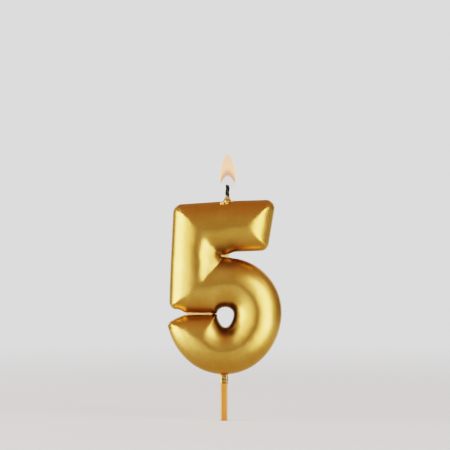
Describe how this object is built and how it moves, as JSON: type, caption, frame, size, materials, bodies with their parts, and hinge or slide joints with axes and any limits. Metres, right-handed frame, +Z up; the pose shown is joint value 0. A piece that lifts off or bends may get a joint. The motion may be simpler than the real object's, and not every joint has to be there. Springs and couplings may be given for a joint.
{
  "type": "number birthday candle",
  "caption": "Puffy moulded figure 5 in metallic gold-lacquered wax, with a twisted wick and flame on top and a square pick underneath for a cake.",
  "frame": {"origin": "centre of the pick's flat lower end, on the pick's axis", "axes": "+Z up along the pick, from its lower end to the flame; the readable front of the figure faces -Y; +X is to the reader's right"},
  "size_m": [0.0451, 0.015, 0.1066],
  "materials": {
    "gold_lacquer": "satin metallic gold lacquer with a fine flake grain",
    "wax": "ivory paraffin wax, matt",
    "seal_wax": "glossy gold-tinted wax",
    "drip_wax": "glossy gold-tinted wax beads",
    "wick_cotton": "twisted cotton, charred where it stands out of the wax",
    "pick_wood": "plain sawn bamboo, straight grain",
    "pick_lacquer": "bright gold lacquer",
    "flame": "pale peach candle flame, glowing"
  },
  "bodies": {
    "root": {"gold_lacquer_skin": "gold_lacquer", "wax_core": "wax", "wick_seal": "seal_wax", "wax_drips": "drip_wax", "wick_ply_1": "wick_cotton", "wick_ply_2": "wick_cotton", "wick_ply_3": "wick_cotton", "pick": "pick_wood", "pick_lacquer_sleeve": "pick_lacquer", "flame": "flame"}
  },
  "joints": []
}
